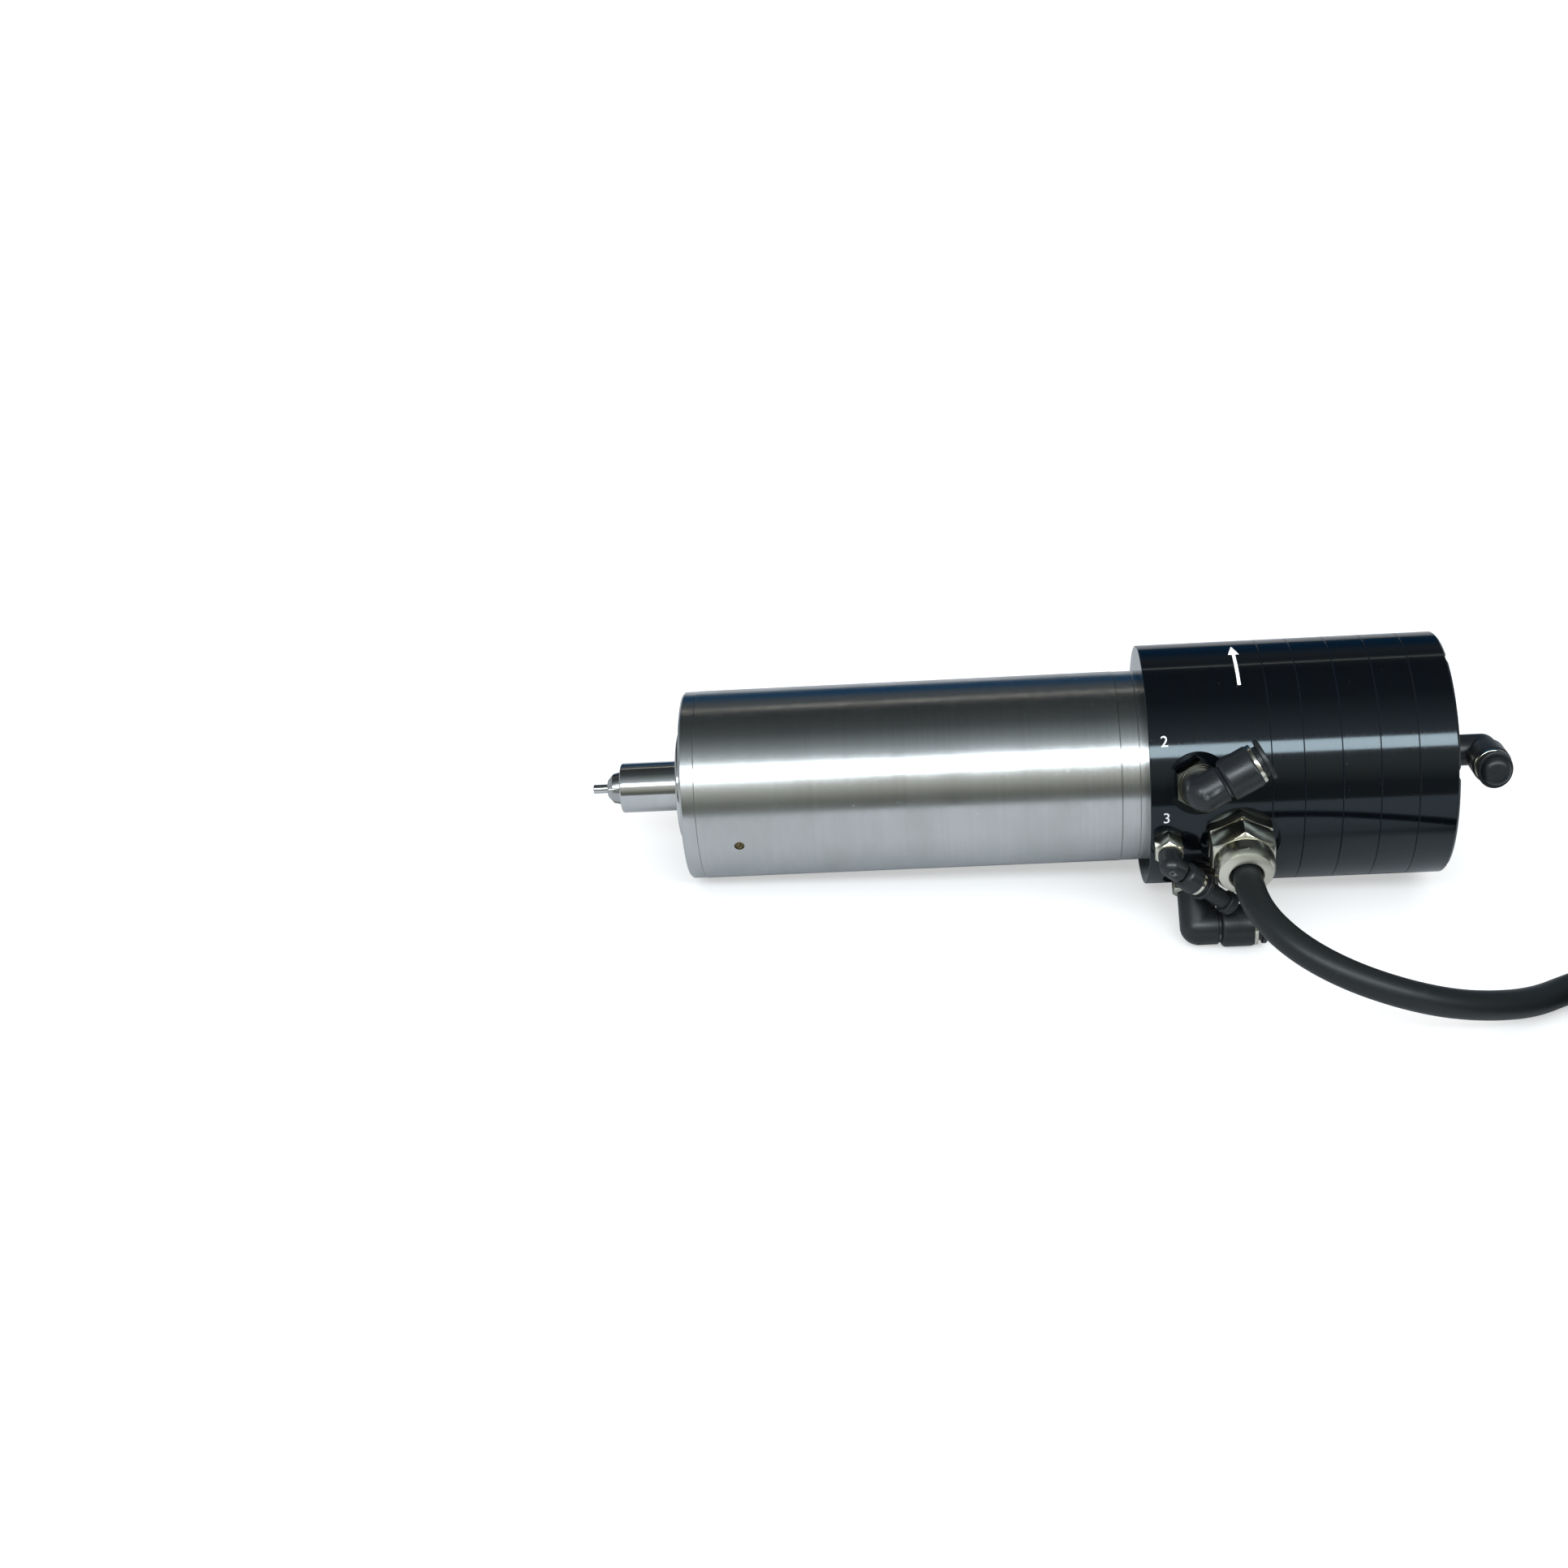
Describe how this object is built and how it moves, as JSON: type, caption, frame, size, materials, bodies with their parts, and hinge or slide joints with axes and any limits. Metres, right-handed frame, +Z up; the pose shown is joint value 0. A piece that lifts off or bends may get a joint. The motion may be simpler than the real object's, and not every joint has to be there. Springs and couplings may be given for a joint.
{
  "type": "motor spindle",
  "caption": "Water-cooled high-speed motor spindle with collet, pneumatic tool release, push-in elbow fittings, cable gland and coiled lead, lying on its side.",
  "frame": {"origin": "middle of the spindle's own footprint on the surface it lies on, without the cable", "axes": "+Z up; the spindle's axis runs nose-down towards -X, 3.125 degrees below the horizontal, as it lies on its nose rim, shoulder edge and lower coolant elbow; fittings and cable towards -Y"},
  "size_m": [0.442, 0.2039, 0.083],
  "materials": {
    "ground_steel": "ground, fine circumferential lines",
    "cover_steel": "satin turned",
    "seal_steel": "mirror polished",
    "collar_steel": "ground",
    "shaft_steel": "ground and polished",
    "screw_steel": "dark steel",
    "bearing_steel": "ground",
    "housing_steel": "turned",
    "jacket_aluminium": "turned",
    "core_steel": "laminated",
    "copper_winding": "lacquered copper",
    "black_anodised": "glossy blue-black anodised",
    "seal_rubber": "matt",
    "nickel": "nickel plated, polished",
    "ring_metal": "bright plated",
    "fitting_plastic": "fine grained black",
    "set_screw_brass": "dulled",
    "red_plastic": "moulded",
    "cable_jacket": "matt black jacket",
    "tie_strap": "woven hook-and-loop strap",
    "connector_metal": "satin nickel",
    "connector_plastic": "moulded"
  },
  "bodies": {
    "housing": {"main_sleeve": "ground_steel", "front_cover": "cover_steel", "front_cover_screws": "screw_steel", "front_seal_ring": "seal_steel", "rear_collar_ring": "collar_steel", "brass_set_screw": "set_screw_brass", "red_port_plug": "red_plastic", "front_bearing_housing": "housing_steel", "rear_bearing_housing": "housing_steel", "water_jacket": "jacket_aluminium", "stator_core": "core_steel", "stator_windings": "copper_winding", "bearing_outer_rings": "bearing_steel", "manifold_block": "black_anodised", "cylinder_base": "black_anodised", "cylinder_rings": "black_anodised", "rear_cap": "black_anodised", "cylinder_seals": "seal_rubber", "tie_bolts": "screw_steel", "piston_return_spring": "screw_steel", "gland_body": "nickel", "gland_dome_nut": "nickel", "gland_seal": "seal_rubber", "coolant_out_base": "nickel", "coolant_in_base": "nickel", "seal_air_base": "nickel", "clamp_air_base": "nickel", "cable": "cable_jacket", "cable_coil": "cable_jacket", "coil_tie": "tie_strap", "cable_tail": "cable_jacket", "connector_shell": "connector_metal", "connector_insert": "connector_plastic"},
    "rotor": {"rotor_shaft": "shaft_steel", "rotor_core": "core_steel", "bearing_inner_rings": "bearing_steel", "disc_springs": "screw_steel"},
    "drawbar": {"drawbar": "shaft_steel", "collet": "shaft_steel"},
    "tool_pin": {"tool_pin": "shaft_steel"},
    "front_balls": {"front_ball_rows": "bearing_steel"},
    "rear_balls": {"rear_ball_row": "bearing_steel"},
    "piston": {"piston_rod": "shaft_steel", "piston_discs": "jacket_aluminium", "piston_seals": "seal_rubber"},
    "coolant_out_elbow": {"coolant_out_elbow": "fitting_plastic", "coolant_out_ring": "ring_metal"},
    "coolant_out_collar": {"coolant_out_collar": "fitting_plastic"},
    "coolant_in_elbow": {"coolant_in_elbow": "fitting_plastic", "coolant_in_ring": "ring_metal"},
    "coolant_in_collar": {"coolant_in_collar": "fitting_plastic"},
    "seal_air_elbow": {"seal_air_elbow": "fitting_plastic", "seal_air_ring": "ring_metal", "seal_air_plug": "fitting_plastic"},
    "seal_air_collar": {"seal_air_collar": "fitting_plastic"},
    "clamp_air_elbow": {"clamp_air_elbow": "fitting_plastic", "clamp_air_ring": "ring_metal", "clamp_air_plug": "fitting_plastic"},
    "clamp_air_collar": {"clamp_air_collar": "fitting_plastic"},
    "connector_ring": {"connector_ring": "connector_metal"}
  },
  "joints": [
    {"name": "shaft_spin", "type": "hinge", "parent": "housing", "child": "rotor", "pos_m": [0.03223, 0.00855, 0.03892], "axis": [-0.9985, 0, -0.0545], "continuous": true},
    {"name": "front_balls_orbit", "type": "hinge", "parent": "housing", "child": "front_balls", "pos_m": [0.03223, 0.00855, 0.03892], "axis": [-0.9985, 0, -0.0545], "continuous": true},
    {"name": "rear_balls_orbit", "type": "hinge", "parent": "housing", "child": "rear_balls", "pos_m": [0.03223, 0.00855, 0.03892], "axis": [-0.9985, 0, -0.0545], "continuous": true},
    {"name": "piston_slide", "type": "slide", "parent": "housing", "child": "piston", "axis": [-0.9985, 0, -0.0545], "range_m": [0, 0.003], "stiffness_N_per_m": 3000, "springref_m": -0.004, "deforming": ["piston_return_spring"]},
    {"name": "drawbar_slide", "type": "slide", "parent": "rotor", "child": "drawbar", "axis": [-0.9985, 0, -0.0545], "range_m": [0, 0.0024], "stiffness_N_per_m": 2000, "springref_m": -0.002, "deforming": ["disc_springs"]},
    {"name": "tool_pin_pull", "type": "slide", "parent": "drawbar", "child": "tool_pin", "axis": [-0.9985, 0, -0.0545], "range_m": [0, 0.03]},
    {"name": "coolant_out_swivel", "type": "hinge", "parent": "housing", "child": "coolant_out_elbow", "pos_m": [0.04634, -0.02551, 0.05553], "axis": [-0.023, -0.907, 0.4204], "range_deg": [-80, 150]},
    {"name": "coolant_out_release", "type": "slide", "parent": "coolant_out_elbow", "child": "coolant_out_collar", "axis": [-0.8584, -0.1977, -0.4733], "range_m": [0, 0.001], "stiffness_N_per_m": 400, "springref_m": -0.0005},
    {"name": "coolant_in_swivel", "type": "hinge", "parent": "housing", "child": "coolant_in_elbow", "pos_m": [0.04844, -0.0214, 0.01713], "axis": [0.0329, -0.7976, -0.6023], "range_deg": [0, 4]},
    {"name": "coolant_in_release", "type": "slide", "parent": "coolant_in_elbow", "child": "coolant_in_collar", "axis": [-0.9985, 0, -0.0545], "range_m": [0, 0.001], "stiffness_N_per_m": 400, "springref_m": -0.0005},
    {"name": "seal_air_swivel", "type": "hinge", "parent": "housing", "child": "seal_air_elbow", "pos_m": [0.03784, -0.02968, 0.03514], "axis": [0.0058, -0.9943, -0.1061], "range_deg": [-2, 0.5]},
    {"name": "seal_air_release", "type": "slide", "parent": "seal_air_elbow", "child": "seal_air_collar", "axis": [-0.7672, -0.0725, 0.6373], "range_m": [0, 0.001], "stiffness_N_per_m": 400, "springref_m": -0.0005},
    {"name": "clamp_air_swivel", "type": "hinge", "parent": "housing", "child": "clamp_air_elbow", "pos_m": [0.12728, 0.00855, 0.04411], "axis": [0.9985, 0, 0.0545], "continuous": true},
    {"name": "clamp_air_release", "type": "slide", "parent": "clamp_air_elbow", "child": "clamp_air_collar", "axis": [0.0141, 0.9659, -0.2584], "range_m": [0, 0.001], "stiffness_N_per_m": 400, "springref_m": -0.0005},
    {"name": "connector_ring_turn", "type": "hinge", "parent": "housing", "child": "connector_ring", "pos_m": [0.28564, -0.11802, 0.009], "axis": [-0.0435, -0.9991, 0], "continuous": true}
  ],
  "couplings": [
    {"joint": "drawbar_slide", "follows": "piston_slide", "ratio": 0.8},
    {"joint": "front_balls_orbit", "follows": "shaft_spin", "ratio": 0.4},
    {"joint": "rear_balls_orbit", "follows": "shaft_spin", "ratio": 0.4}
  ]
}
